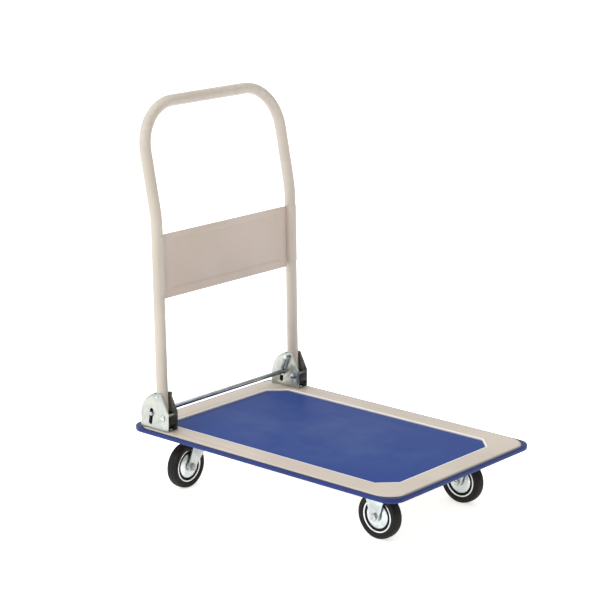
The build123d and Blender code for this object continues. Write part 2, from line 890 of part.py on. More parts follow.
def tyre(station):
    """Solid rubber tyre with a crowned tread."""
    half = wheel_width / 2
    shoulder = wheel_radius - 1.6
    with BuildPart() as ring:
        with BuildSketch(station.radial()):
            with BuildLine():
                Polyline(
                    (shoulder, -half + 2.0), (wheel_radius - 4.0, -half), (rim_radius + 4.0, -half),
                    (rim_radius, -half + 2.2), (rim_radius, half - 2.2), (rim_radius + 4.0, half),
                    (wheel_radius - 4.0, half), (shoulder, half - 2.0),
                )
                ThreePointArc((shoulder, half - 2.0), (wheel_radius, 0), (shoulder, -half + 2.0))
            make_face()
        revolve(axis=station.axle_line())
    return ring


def rim_half(station, way):
    """One pressed half of the wheel: a domed disc, a groove and the seat of the tyre."""
    edge = wheel_width / 2 - 2.0
    seat = rim_radius - rim_steel / 2
    with BuildPart() as disc:
        with BuildSketch(station.radial()):
            with BuildLine():
                FilletPolyline(
                    (hub_radius + running + 0.01, way * (edge + 1.5)),
                    (hub_radius + 8.0, way * (edge + 1.5)),
                    (rim_radius - 9.5, way * (edge - 1.5)),
                    (rim_radius - 8.0, way * 4.5),
                    (rim_radius - 4.6, way * 4.5),
                    (rim_radius - 3.6, way * (edge - 0.8)),
                    (seat, way * (edge - 0.8)),
                    (seat, way * 0.2),
                    radius=0.8,
                )
            trace(line_width=rim_steel)
        revolve(axis=station.axle_line())
    return disc


def hub_bush(station):
    """Plain bush that runs on the axle, with a shallow grease groove."""
    half = fork_gap / 2 - free_gap
    with BuildPart() as bush:
        with BuildSketch(Plane(origin=station.hub, z_dir=station.axle)):
            Circle(hub_radius)
            Circle(axle_radius + running, mode=Mode.SUBTRACT)
        extrude(amount=half, both=True)
    return bush


stations = {
    "front_left": Station(front_axle_x, caster_y, 180.0, 0.0),
    "front_right": Station(front_axle_x, -caster_y, 0.0, 0.0),
    "rear_left": Station(rear_pin_x, caster_y, left_swivel_angle, trail),
    "rear_right": Station(rear_pin_x, -caster_y, right_swivel_angle, trail),
}
for name, station in stations.items():
    if name.startswith("front"):
        save(front_fork(station), f"{name}_fork")
    else:
        save(top_plate(station), f"{name}_top_plate")
        save(kingpin(station), f"{name}_kingpin")
        save(race_cup(station), f"{name}_race_cup")
        save(ball_ring(station), f"{name}_balls")
        save(swivel_fork(station), f"{name}_fork")
    save(axle_bolt(station), f"{name}_axle")
    save(axle_nut(station), f"{name}_axle_nut")
    save(tyre(station), f"{name}_tyre")
    save(rim_half(station, 1), f"{name}_outer_rim")
    save(rim_half(station, -1), f"{name}_inner_rim")
    save(hub_bush(station), f"{name}_hub")
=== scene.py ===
import json
import math

import bmesh
import bpy
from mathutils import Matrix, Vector

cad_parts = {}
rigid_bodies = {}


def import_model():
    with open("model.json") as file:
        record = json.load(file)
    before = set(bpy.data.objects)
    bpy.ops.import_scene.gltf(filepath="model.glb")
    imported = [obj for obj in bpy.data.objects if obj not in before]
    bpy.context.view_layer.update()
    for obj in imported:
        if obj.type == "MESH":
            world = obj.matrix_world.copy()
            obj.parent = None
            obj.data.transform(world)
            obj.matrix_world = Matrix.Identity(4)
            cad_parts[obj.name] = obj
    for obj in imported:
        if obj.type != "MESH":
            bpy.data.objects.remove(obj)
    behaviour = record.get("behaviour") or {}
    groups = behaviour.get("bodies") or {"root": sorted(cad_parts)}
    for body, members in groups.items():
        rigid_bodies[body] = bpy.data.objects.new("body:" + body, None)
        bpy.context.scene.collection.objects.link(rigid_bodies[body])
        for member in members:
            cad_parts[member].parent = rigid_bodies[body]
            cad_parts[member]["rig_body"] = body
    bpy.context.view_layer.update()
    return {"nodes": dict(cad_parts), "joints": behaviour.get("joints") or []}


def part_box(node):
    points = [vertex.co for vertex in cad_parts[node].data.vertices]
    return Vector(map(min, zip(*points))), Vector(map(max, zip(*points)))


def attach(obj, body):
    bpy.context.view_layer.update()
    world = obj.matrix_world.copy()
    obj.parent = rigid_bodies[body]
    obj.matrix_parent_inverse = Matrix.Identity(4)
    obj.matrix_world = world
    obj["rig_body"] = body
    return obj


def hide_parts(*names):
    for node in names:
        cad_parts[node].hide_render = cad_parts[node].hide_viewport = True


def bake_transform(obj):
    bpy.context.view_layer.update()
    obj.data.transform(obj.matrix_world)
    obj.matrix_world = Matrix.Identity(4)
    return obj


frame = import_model()
nodes = frame["nodes"]


# ---- The deck: one steel pressing with a rolled rim and a shallow recess for the mat, and two
# hat channels spot-welded under it. Both carry a satin beige powder coat, faintly pebbled, that
# has picked up grey scuffs and is rubbed thin where the sheet turns over. A near-white highlight
# is painted on the lip round the recess, and grey shade on the roll at the front end.
class Term:
    """A shader socket that sums, products and powers can be written with."""

    def __init__(self, finish, socket):
        self.finish, self.socket = finish, socket

    def math(self, operation, *others, clamp=False):
        sockets = dict(enumerate((self, *others)))
        settings = {"operation": operation, "use_clamp": clamp}
        return self.finish.node("ShaderNodeMath", settings, sockets)

    def __add__(self, other):
        return self.math("ADD", other)

    def __sub__(self, other):
        return self.math("SUBTRACT", other)

    def __mul__(self, other):
        return self.math("MULTIPLY", other)

    def __rsub__(self, other):
        settings = {"operation": "SUBTRACT"}
        return self.finish.node("ShaderNodeMath", settings, {0: other, 1: self})

    __radd__, __rmul__ = __add__, __mul__

    def above(self, low, high):
        """0 below low, 1 above high and a smooth step between them."""
        settings = {"interpolation_type": "SMOOTHSTEP"}
        sockets = {"Value": self, "From Min": low, "From Max": high}
        return self.finish.node("ShaderNodeMapRange", settings, sockets)


def colour(red, green, blue):
    """A colour from its 0 to 255 screen values."""
    def straight(value):
        value /= 255
        return value / 12.92 if value <= 0.04045 else ((value + 0.055) / 1.055) ** 2.4
    return (straight(red), straight(green), straight(blue), 1.0)


class Finish:
    """A material: its node tree, and the shader that its patterns feed."""

    def __init__(self, name, **constants):
        self.material = bpy.data.materials.new(name)
        self.material.use_nodes = True
        self.tree = self.material.node_tree
        self.tree.nodes.clear()
        self.shader = self.tree.nodes.new("ShaderNodeBsdfPrincipled")
        output = self.tree.nodes.new("ShaderNodeOutputMaterial")
        self.tree.links.new(self.shader.outputs["BSDF"], output.inputs["Surface"])
        self.place = self.node("ShaderNodeTexCoord", output="Object")
        for name, value in constants.items():
            label = name.replace("_", " ").title().replace("Ior", "IOR")
            self.shader.inputs[label].default_value = value

    def node(self, kind, settings=None, sockets=None, output=0):
        """Any node: its settings are made first, then its sockets get values or links."""
        made = self.tree.nodes.new(kind)
        for name, value in (settings or {}).items():
            setattr(made, name, value)
        for name, value in (sockets or {}).items():
            self.feed(made.inputs[name], value)
        return Term(self, made.outputs[output])

    def feed(self, socket, value):
        if isinstance(value, Term):
            self.tree.links.new(value.socket, socket)
        else:
            socket.default_value = value

    def axes(self):
        """The object's own x, y and z, in metres."""
        return [
            self.node("ShaderNodeSeparateXYZ", sockets={0: self.place}, output=index)
            for index in range(3)
        ]

    def noise(self, size, detail=3.0, rough=0.5, stretch=(1, 1, 1), warp=0.0):
        """Cloudy noise whose blotches are about size metres across, stretched along an axis."""
        place = self.node("ShaderNodeMapping", sockets={0: self.place, "Scale": stretch})
        sockets = {
            "Vector": place, "Scale": 0.5 / size, "Detail": detail, "Roughness": rough,
            "Distortion": warp,
        }
        return self.node("ShaderNodeTexNoise", sockets=sockets)

    def cells(self, size, feature="F1"):
        """Distance to the nearest of a field of cells about size metres across."""
        sockets = {"Vector": self.place, "Scale": 1 / size}
        return self.node("ShaderNodeTexVoronoi", {"feature": feature}, sockets)

    def mixed(self, mask, first, second):
        """A colour that goes from first to second with mask."""
        settings = {"data_type": "RGBA"}
        return self.node("ShaderNodeMix", settings, {0: mask, 6: first, 7: second}, 2)

    def paint(self, base, roughness, height=None, depth=0.0, metallic=None):
        """Feeds the shader and returns the finished material."""
        self.feed(self.shader.inputs["Base Color"], base)
        self.feed(self.shader.inputs["Roughness"], roughness)
        if metallic is not None:
            self.feed(self.shader.inputs["Metallic"], metallic)
        if height is not None:
            bump = self.node("ShaderNodeBump", sockets={"Distance": depth, "Height": height})
            self.feed(self.shader.inputs["Normal"], bump)
        return self.material


def powder_coat(name, base, scuffed, bare, edge=None, worn=0.55, marks=()):
    """Baked powder paint: fine pebble, slow shifts of tone, scuffs, thin paint on edges, and
    marks, each a pattern with the colour it paints, some of them painted highlights and shade."""
    finish = Finish(name, specular_ior_level=0.45, coat_roughness=0.35)
    pebble = finish.noise(0.0011, 2.0, 0.6)
    tone = finish.noise(0.09, 4.0, 0.55)
    scrapes = finish.noise(0.03, 6.0, 0.7, (1, 2.5, 1), 0.6)
    scuff = (scrapes * finish.noise(0.12, 2.0)).above(0.33, 0.46)
    speck = finish.noise(0.0025, 1.0, 0.5).above(0.70, 0.76)
    coat = finish.mixed(tone.above(0.3, 0.7), base, scuffed)
    coat = finish.mixed(scuff * 0.35, coat, scuffed)
    coat = finish.mixed(speck * 0.25, coat, bare)
    roughness = 0.36 + tone * 0.12 + scuff * 0.12
    if edge is not None:
        rubbed = edge(finish) * finish.noise(0.006, 4.0, 0.7).above(0.35, 0.62)
        coat = finish.mixed(rubbed * worn, coat, bare)
        roughness = roughness - rubbed * 0.1
    for mark, left in marks:
        coat = finish.mixed(mark(finish) * 0.85, coat, left)
    return finish.paint(coat, roughness, pebble + scuff * 0.4, 0.00006)


def deck_edges(finish):
    """1 along the turned rim, except at the front end, 0 elsewhere."""
    half_length, half_width = deck_high.x, deck_high.y
    x, y, z = finish.axes()
    to_end = half_length - x.math("ABSOLUTE")
    to_side = half_width - y.math("ABSOLUTE")
    rim = 1 - to_end.math("MINIMUM", to_side).above(0.0012, 0.0045)
    front = x.above(half_length - 0.012, half_length - 0.008)
    return rim * (1 - front) * z.above(deck_high.z - 0.0015, deck_high.z)


def recess_lip_highlight(finish):
    """1 on the turned lip round the recess, where a near-white highlight is painted, 0 elsewhere.
    """
    x, y, z = finish.axes()
    side_x, side_y = x.math("ABSOLUTE"), y.math("ABSOLUTE")
    cut = (side_x + side_y - (mat_high.x + mat_high.y - mat_cut / 1000)) * math.sqrt(0.5)
    beyond = (side_x - mat_high.x).math("MAXIMUM", side_y - mat_high.y).math("MAXIMUM", cut)
    lip = 1 - (beyond - 0.0022).math("ABSOLUTE").above(0.0008, 0.0019)
    return lip * z.above(deck_high.z - 0.003, deck_high.z - 0.002)


def front_roll_shade(finish):
    """1 on the roll at the front end, where grey shade is painted, 0 elsewhere."""
    x, _, z = finish.axes()
    shaded_roll = x.above(deck_high.x - 0.0070, deck_high.x - 0.0028)
    return shaded_roll * (1 - z.above(deck_high.z - 0.0006, deck_high.z + 0.0004) * 0.35)


def dress(piece, material):
    """Gives a piece or a CAD node one finish."""
    piece.data.materials.clear()
    piece.data.materials.append(material)


def stand(name, data):
    """A new object in the scene for a mesh, lamp or camera."""
    made = bpy.data.objects.new(name, data)
    bpy.context.scene.collection.objects.link(made)
    return made


def settled(piece):
    """The plain mesh that a piece's modifiers give it."""
    ready = piece.evaluated_get(bpy.context.evaluated_depsgraph_get())
    return bpy.data.meshes.new_from_object(ready)


def softened(name, width, material, turn=32):
    """A CAD node's own shape, with its sharp edges eased by width millimetres."""
    node = nodes[name]
    shape = node.data.copy()
    shape.name = name + "_eased"
    work = bmesh.new()
    work.from_mesh(shape)
    bmesh.ops.remove_doubles(work, verts=work.verts, dist=2e-6)
    flat = math.radians(0.6)
    bmesh.ops.dissolve_limit(work, angle_limit=flat, verts=work.verts, edges=work.edges)
    work.to_mesh(shape)
    work.free()
    for attribute in ("sharp_edge", "custom_normal"):
        if attribute in shape.attributes:
            shape.attributes.remove(shape.attributes[attribute])
    piece = stand(name + "_eased", shape)
    easing = piece.modifiers.new("easing", "BEVEL")
    easing.width, easing.segments = width / 1000, 2
    easing.limit_method, easing.angle_limit = "ANGLE", math.radians(turn)
    easing.use_clamp_overlap, easing.harden_normals = True, False
    eased = settled(piece)
    piece.modifiers.clear()
    piece.data = eased
    eased.shade_smooth()
    eased.set_sharp_from_angle(angle=math.radians(turn))
    dress(piece, material)
    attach(piece, node["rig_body"])
    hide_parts(name)
    return piece


deck_low, deck_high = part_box("deck_tray")
mat_low, mat_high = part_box("deck_mat")
mat_cut = 35.0  # millimetres cut off each corner of the mat and of its recess, along each side
deck_paint = powder_coat(
    "deck_powder_coat", colour(190, 179, 166), colour(181, 170, 157), colour(212, 205, 195),
    deck_edges,
    # The first mark paints a near-white highlight on the lip round the recess.
    marks=((recess_lip_highlight, colour(244, 243, 240)), (front_roll_shade, colour(112, 114, 104))),
# The second mark paints grey shade on the roll at the front end.
)
softened("deck_tray", 0.25, deck_paint)
softened("deck_stiffeners", 0.5, deck_paint)


# ---- The bumper: a soft vinyl section pushed over the rolled rim all round. It carries a moulded
# groove along its face and a rounded lip top and bottom, grows thick at the corners where the rim
# turns more tightly inside it, and is rubbed paler where it has met walls. Shade is painted dark
# into the groove and along the top lip.
def new_piece(name, points, faces, material, turn=30):
    """A mesh piece from points in millimetres, doubles merged and faces turned outwards."""
    shape = bpy.data.meshes.new(name)
    work = bmesh.new()
    corners = [work.verts.new(Vector(point) / 1000) for point in points]
    for face in faces:
        work.faces.new([corners[index] for index in face])
    bmesh.ops.remove_doubles(work, verts=work.verts, dist=1e-6)
    bmesh.ops.recalc_face_normals(work, faces=work.faces)
    work.to_mesh(shape)
    work.free()
    shape.shade_smooth()
    shape.set_sharp_from_angle(angle=math.radians(turn))
    piece = stand(name, shape)
    dress(piece, material)
    return piece


def looped(rings):
    """Faces between rings of equal length, each ring closed and the last joined to the first."""
    count, size = len(rings), len(rings[0])
    faces = []
    for ring in range(count):
        after = (ring + 1) % count
        for step in range(size):
            turn = (step + 1) % size
            faces.append(
                (ring * size + step, ring * size + turn, after * size + turn, after * size + step)
            )
    return [point for ring in rings for point in ring], faces


def outline(half_x, half_y, radius, steps=14):
    """Points and outward directions round a rounded rectangle, in millimetres."""
    stations = []
    for corner in range(4):
        centre_x = (half_x - radius) * (1 if corner in (0, 3) else -1)
        centre_y = (half_y - radius) * (1 if corner in (0, 1) else -1)
        for step in range(steps + 1):
            angle = math.radians(90 * corner + 90 * step / steps)
            away = Vector((math.cos(angle), math.sin(angle), 0))
            stations.append((Vector((centre_x, centre_y, 0)) + away * radius, away))
    return stations


bumper_low, bumper_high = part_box("edge_bumper")
bumper_x, bumper_y = bumper_high.x * 1000, bumper_high.y * 1000
bumper_bottom, bumper_top = bumper_low.z * 1000, bumper_high.z * 1000
shell_x, shell_y, shell_top = deck_high.x * 1000, deck_high.y * 1000, deck_high.z * 1000
bumper_corner, shell_corner, shell_roll, bumper_lip = 36.0, 52.0, 8.0, 6.0


def to_shell(point, away, inset):
    """How far inwards from a point on the bumper the rolled rim is met, at an inset of its own."""
    reach = 0.0
    for _ in range(24):
        spot = point - away * reach
        over_x = abs(spot.x) - (shell_x - shell_corner)
        over_y = abs(spot.y) - (shell_y - shell_corner)
        outside = math.hypot(max(over_x, 0), max(over_y, 0)) + min(max(over_x, over_y), 0)
        reach += outside - shell_corner + inset
    return reach


bumper_rings = []
for point, away in outline(bumper_x, bumper_y, bumper_corner):
    section = [
        (bumper_lip + 3.4, 0.0), (2.0, 0.0), (1.1, 0.15), (0.45, 0.6), (0.1, 1.3), (0.0, 2.2),
        (0.0, 5.7), (0.12, 6.1), (0.42, 6.4), (0.46, 6.7), (0.42, 7.0), (0.12, 7.3), (0.0, 7.7),
        (0.15, 8.7), (0.6, 9.4), (1.3, 9.85), (2.0, 10.0),
    ]
    ring = [point - away * inward + Vector((0, 0, bumper_bottom + up)) for inward, up in section]
    roll_centre = shell_top - shell_roll
    for up in (bumper_top, 131.4, 130.0, 128.5, roll_centre, 125.0, deck_low.z * 1000):
        rise = max(up - roll_centre, 0)
        inset = shell_roll - math.sqrt(shell_roll**2 - rise**2)
        ring.append(point - away * to_shell(point, away, inset) + Vector((0, 0, up)))
    lip_reach = to_shell(point, away, bumper_lip)
    ring.append(point - away * lip_reach + Vector((0, 0, deck_low.z * 1000)))
    ring[0] = point - away * lip_reach + Vector((0, 0, bumper_bottom))
    bumper_rings.append(ring)

finish = Finish("bumper_vinyl", specular_ior_level=0.3)
x, y, z = finish.axes()
grime = finish.noise(0.02, 5.0, 0.65, (0.4, 0.4, 1))
scrape = finish.noise(0.012, 4.0, 0.7, (0.25, 0.25, 3)).above(0.58, 0.72)
bumper_groove_shade = 1 - (z - (bumper_low.z + 0.0067)).math("ABSOLUTE").above(0.0002, 0.0007)
top_lip_shade = z.above(bumper_high.z - 0.0016, bumper_high.z - 0.0004)
blue = finish.mixed(grime.above(0.35, 0.7), colour(4, 34, 100), colour(8, 41, 110))
blue = finish.mixed(scrape * 0.25, blue, colour(54, 80, 140))
# Painted shade: the groove and the top lip are darkened to near-black blue.
blue = finish.mixed(bumper_groove_shade * 0.6 + top_lip_shade * 0.45, blue, colour(4, 14, 52))
grain = finish.noise(0.0009, 2.0, 0.6)
bumper_vinyl = finish.paint(blue, 0.34 + grime * 0.16 + scrape * 0.2, grain + scrape, 0.00005)
bumper = new_piece("bumper_section", *looped(bumper_rings), bumper_vinyl, 40)
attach(bumper, "platform")
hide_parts("edge_bumper")


# ---- The mat: a blue vinyl sheet with cut corners, glued into the recess. Its face is embossed
# with a close leather grain, its middle is polished and greyed by loads, and its edge is rounded.
mat_x, mat_y = mat_high.x * 1000, mat_high.y * 1000
mat_bottom, mat_top = mat_low.z * 1000, mat_high.z * 1000


def mat_outline(inset):
    """The eight-cornered outline with each corner softened a little, moved in by inset."""
    length, width = mat_x - inset, mat_y - inset
    cut = mat_cut - inset * (2 - math.sqrt(2))
    corners = [
        (length, -width + cut), (length, width - cut), (length - cut, width),
        (-length + cut, width), (-length, width - cut), (-length, -width + cut),
        (-length + cut, -width), (length - cut, -width),
    ]
    points = []
    for index, corner in enumerate(corners):
        here = Vector(corner)
        before = (Vector(corners[index - 1]) - here).normalized() * 2.5
        after = (Vector(corners[(index + 1) % 8]) - here).normalized() * 2.5
        for step in range(5):
            share = step / 4
            low, high = here + before * (1 - share), here + after * share
            points.append(low.lerp(high, share))
    return points


mat_levels = [
    (0.0, mat_bottom), (0.0, mat_top - 0.8), (0.15, mat_top - 0.35), (0.45, mat_top - 0.1),
    (0.9, mat_top),
]
mat_rings = [
    [(point.x, point.y, up) for point in mat_outline(inset)] for inset, up in mat_levels
]
mat_points = [point for ring in mat_rings for point in ring]
count = len(mat_rings[0])
mat_faces = [
    (level * count + k, level * count + (k + 1) % count,
     (level + 1) * count + (k + 1) % count, (level + 1) * count + k)
    for level in range(len(mat_rings) - 1) for k in range(count)
]
mat_faces.append(tuple(range(count))[::-1])
mat_faces.append(tuple(range(len(mat_points) - count, len(mat_points))))

finish = Finish("mat_vinyl", specular_ior_level=0.18)
x, y, z = finish.axes()
across = x * x * (1 / mat_high.x**2) + y * y * (1 / mat_high.y**2)
worn = (1 - across.above(0.15, 1.25)) * finish.noise(0.07, 4.0, 0.6).above(0.3, 0.7)
grain = finish.cells(0.0016).above(0.05, 0.75)
creases = finish.cells(0.0042, "DISTANCE_TO_EDGE").above(0.0, 0.09)
streak = finish.noise(0.03, 5.0, 0.7, (0.15, 1.6, 1), 0.3).above(0.55, 0.75)
blue = finish.mixed(worn, colour(25, 56, 124), colour(36, 66, 126))
blue = finish.mixed(streak * 0.16, blue, colour(60, 84, 132))
blue = finish.mixed((1 - grain) * 0.12, blue, colour(20, 38, 90))
mat_roughness = 0.52 - worn * 0.08 + streak * 0.1
mat_vinyl = finish.paint(blue, mat_roughness, grain * 0.5 + creases * 0.5, 0.00009)
mat = new_piece("mat_sheet", mat_points, mat_faces, mat_vinyl, 50)
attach(mat, "platform")
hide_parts("deck_mat")


# ---- The hinge brackets: each is pressed from thick sheet into a cup of two cheeks, a curved back
# and a base, then plated with bright zinc, which is cloudy, lightly brushed along the press marks
# and dulled in patches.
def zinc(name, bright, dull, roughness, brush=(1, 1, 12), depth=0.00003):
    """Bright zinc plate: cloudy passivation, fine drawn lines, and small dull freckles."""
    finish = Finish(name, metallic=1.0)
    cloud = finish.noise(0.012, 5.0, 0.6, (1, 1, 1), 0.4)
    lines = finish.noise(0.0022, 4.0, 0.7, brush)
    freckle = finish.noise(0.0035, 3.0, 0.6).above(0.62, 0.70)
    scratch = finish.noise(0.009, 6.0, 0.8, (2.0, 6.0, 0.5), 1.2).above(0.66, 0.70)
    plate = finish.mixed(cloud.above(0.35, 0.65), bright, dull)
    plate = finish.mixed(freckle * 0.3, plate, colour(150, 152, 148))
    plate = finish.mixed(scratch * 0.5, plate, colour(236, 238, 238))
    dulled = roughness + cloud * 0.14 + lines * 0.08 + freckle * 0.12
    return finish.paint(plate, dulled, lines * 0.6 + scratch * 0.3 + cloud * 0.3, depth)


bracket_zinc = zinc("bracket_zinc", colour(182, 183, 176), colour(164, 170, 165), 0.24)
for side in ("left", "right"):
    bracket = softened(f"{side}_hinge_bracket", 0.35, bracket_zinc)


# ---- The bracket fasteners: pan-head screws with a cross recess through each base, plain nuts
# below the deck, domed bolts and cap nuts at the pivots, and riveted studs that carry the springs.
def turned(shape, centre, axis, steps=40):
    """Rings of a closed section of (radius, distance) pairs turned round an axis, in millimetres.
    A section may depend on the angle, as a hexagon's does."""
    axis = Vector(axis).normalized()
    aside = Vector((0, 0, 1)) if abs(axis.z) < 0.9 else Vector((1, 0, 0))
    aside = (aside - axis * aside.dot(axis)).normalized()
    other = axis.cross(aside)
    rings = []
    for step in range(steps):
        angle = math.tau * step / steps
        away = aside * math.cos(angle) + other * math.sin(angle)
        section = shape(angle) if callable(shape) else shape
        rings.append([Vector(centre) + away * radius + axis * along for radius, along in section])
    return looped(rings)


def hexagon(flats, low, high, bore, chamfer_low=True):
    """A nut's section at an angle: flats, turned-down corners and a countersunk bore."""
    def section(angle):
        fold = (angle + math.pi / 6) % (math.pi / 3) - math.pi / 6
        reach = flats / 2 / math.cos(fold)
        cut = min(reach, flats / 2 * 1.02)
        drop = (reach - cut) * 0.58
        first = (cut, low) if chamfer_low else (reach, low)
        return [
            (bore, low + 0.4), (bore + 0.4, low), first,
            (reach, low + (drop if chamfer_low else 0)),
            (reach, high - drop), (cut, high), (bore + 0.4, high), (bore, high - 0.4),
        ]
    return section


def joined(*parts):
    """Several sets of points and faces as one."""
    points, faces = [], []
    for some, their in parts:
        faces += [tuple(index + len(points) for index in face) for face in their]
        points += some
    return points, faces


def dome(radius, height, base=0.0, rim=0.6, steps=7):
    """The section of a domed head standing on base: a short rim and then a round crown."""
    angles = [math.pi / 2 * k / steps for k in range(steps + 1)]
    crown = [
        (radius * math.cos(angle), base + rim + (height - rim) * math.sin(angle))
        for angle in angles
    ]
    crown[-1] = (0.0, base + height)
    return [(0.0, base), (radius, base)] + crown


def set_out(name, unit, places, material, body, node_names):
    """Copies of a unit piece on points, made by a node tree and kept as one plain mesh."""
    points = bpy.data.meshes.new(name + "_places")
    points.from_pydata([Vector(place) / 1000 for place in places], [], [])
    seat = stand(name, points)
    grown = grow(seat, fastener_pattern, Fastener=unit, Finish=material, Size=1.0)
    unit_shape = unit.data
    bpy.data.objects.remove(unit)
    bpy.data.meshes.remove(unit_shape)
    grown.set_sharp_from_angle(angle=math.radians(35))
    seat.data = grown
    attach(seat, body)
    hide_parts(*node_names)
    return seat


def grow(source, tree, **inputs):
    """The plain mesh that a node tree makes from a source object."""
    pattern = source.modifiers.new("pattern", "NODES")
    pattern.node_group = tree
    for item in tree.interface.items_tree:
        if item.item_type == "SOCKET" and item.in_out == "INPUT" and item.name in inputs:
            pattern[item.identifier] = inputs[item.name]
    bpy.context.view_layer.update()
    shape = settled(source)
    shape.name = source.name
    source.modifiers.remove(pattern)
    return shape


def start_tree(name, *sockets):
    """A geometry node tree with named inputs, its input node and its output node."""
    tree = bpy.data.node_groups.new(name, "GeometryNodeTree")
    tree.interface.new_socket("Geometry", in_out="INPUT", socket_type="NodeSocketGeometry")
    for label, kind, value in sockets:
        made = tree.interface.new_socket(label, in_out="INPUT", socket_type="NodeSocket" + kind)
        if value is not None:
            made.default_value = value
    tree.interface.new_socket("Geometry", in_out="OUTPUT", socket_type="NodeSocketGeometry")
    return tree, tree.nodes.new("NodeGroupInput"), tree.nodes.new("NodeGroupOutput")


def finish_tree(tree, given, result, last):
    """Ends a tree in smooth shading, real geometry and its material."""
    smooth = tree.nodes.new("GeometryNodeSetShadeSmooth")
    real = tree.nodes.new("GeometryNodeRealizeInstances")
    painted = tree.nodes.new("GeometryNodeSetMaterial")
    tree.links.new(last, real.inputs[0])
    tree.links.new(real.outputs[0], smooth.inputs[0])
    tree.links.new(smooth.outputs[0], painted.inputs["Geometry"])
    tree.links.new(given.outputs["Finish"], painted.inputs["Material"])
    tree.links.new(painted.outputs[0], result.inputs[0])


fastener_pattern, given, result = start_tree(
    "fasteners_on_points",
    ("Fastener", "Object", None), ("Size", "Float", 1.0), ("Finish", "Material", None),
)
picked = fastener_pattern.nodes.new("GeometryNodeObjectInfo")
placed = fastener_pattern.nodes.new("GeometryNodeInstanceOnPoints")
fastener_pattern.links.new(given.outputs["Fastener"], picked.inputs["Object"])
fastener_pattern.links.new(given.outputs["Geometry"], placed.inputs["Points"])
fastener_pattern.links.new(picked.outputs["Geometry"], placed.inputs["Instance"])
fastener_pattern.links.new(given.outputs["Size"], placed.inputs["Scale"])
finish_tree(fastener_pattern, given, result, placed.outputs[0])

fastener_zinc = zinc("fastener_zinc", colour(200, 205, 206), colour(166, 172, 174), 0.16, (4, 4, 4))
pivot = Vector(frame["joints"][0]["pos_m"]) * 1000
rail_y = sum(corner.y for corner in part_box("left_hinge_bracket")) / 2 * 1000
screw_low, screw_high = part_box("bracket_screws")
screw_radius, head_height, screw_pitch = 5.5, 3.0, 29.0
screw_head = screw_high.z * 1000 - head_height
screw_xs = [screw_low.x * 1000 + screw_radius + screw_pitch * step for step in range(3)]
screw_spots = [(along, across_y, 0) for along in screw_xs for across_y in (rail_y, -rail_y)]

shank = [(0.0, screw_low.z * 1000), (2.6, screw_low.z * 1000), (3.0, screw_low.z * 1000 + 0.5)]
for turn in range(6):
    shank += [(3.0, shank[-1][1] + 0.45), (2.7, shank[-1][1] + 0.75), (3.0, shank[-1][1] + 1.0)]
shank += [(3.0, screw_head + 0.2), (0.0, screw_head + 0.2)]
upright = ((0, 0, 0), (0, 0, 1))
head = turned(dome(screw_radius, head_height, screw_head, 0.5), *upright)
unit = new_piece("screw_unit", *joined(head, turned(shank, *upright, 24)), fastener_zinc)
block_faces = [
    (3, 2, 1, 0), (4, 5, 6, 7), (0, 1, 5, 4), (1, 2, 6, 5), (2, 3, 7, 6), (3, 0, 4, 7),
]
for long_x, long_y in ((2.7, 0.55), (0.55, 2.7)):
    corners = [
        (long_x * (share if long_x > 1 else 1) * sign_x,
         long_y * (share if long_y > 1 else 1) * sign_y, up)
        for up, share in ((screw_head + 1.2, 0.45), (screw_head + 4.0, 1.25))
        for sign_x, sign_y in ((-1, -1), (1, -1), (1, 1), (-1, 1))
    ]
    arm = new_piece("recess_arm", corners, block_faces, fastener_zinc)
    cut = unit.modifiers.new("recess", "BOOLEAN")
    cut.operation, cut.object, cut.solver = "DIFFERENCE", arm, "EXACT"
    unit_mesh = settled(unit)
    unit.modifiers.clear()
    unit.data = unit_mesh
    bpy.data.objects.remove(arm)
set_out(
    "bracket_pan_screws", unit, screw_spots, fastener_zinc, "platform",
    ["bracket_screws"],
)

nut_low, nut_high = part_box("bracket_nuts")
unit = new_piece(
    "nut_unit",
    *turned(hexagon(10.0, nut_low.z * 1000, nut_high.z * 1000, 3.05), *upright, 48),
    fastener_zinc,
)
set_out(
    "bracket_hex_nuts", unit, screw_spots, fastener_zinc, "platform",
    ["bracket_nuts"],
)

cheek_outer = (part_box("left_hinge_bracket")[1].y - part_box("left_hinge_bracket")[0].y) * 500
stud_low, stud_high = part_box("cheek_rivets")
stud_x, stud_z = (stud_low.x + stud_high.x) * 500, (stud_low.z + stud_high.z) * 500
heads, caps, studs, rivets = [], [], [], []
for sign in (1, -1):
    outward = (0, sign, 0)
    hinge_spot = (pivot.x, sign * (rail_y + cheek_outer), pivot.z)
    inner_spot = (pivot.x, sign * (rail_y - cheek_outer), pivot.z)
    heads.append(turned(dome(6.5, 4.0, 0.0, 0.5, 9), hinge_spot, outward, 48))
    bolt = [(0.0, 0.2), (0.0, -39.0), (3.4, -39.0), (4.0, -38.4), (4.0, 0.2)]
    heads.append(turned(bolt, hinge_spot, outward, 32))
    nut = hexagon(13.0, -5.0, 0.0, 4.05, False)
    caps.append(turned(nut, inner_spot, outward, 48))
    cap = [(radius, -4.6 - along) for radius, along in dome(5.9, 4.4, 0.0, 1.2, 8)]
    caps.append(turned(cap, inner_spot, outward, 40))
    rivet_spot = (stud_x, sign * (rail_y + cheek_outer), stud_z)
    rivets.append(turned(dome(4.5, 2.0, 0.0, 0.35, 7), rivet_spot, outward, 40))
    rivets.append(turned([(0, 0.1), (2.5, 0.1), (2.5, -2.4), (0, -2.4)], rivet_spot, outward, 32))
    inner_stud = (stud_x, sign * (rail_y - cheek_outer + 2.4), stud_z)
    stud = [
        (0.0, 0.0), (2.5, 0.0), (2.5, -2.3), (3.0, -2.45), (3.0, -10.9), (4.6, -11.0), (5.0, -11.4),
        (5.0, -12.5), (4.6, -13.0), (0.0, -13.0),
    ]
    studs.append(turned(stud, inner_stud, outward, 40))
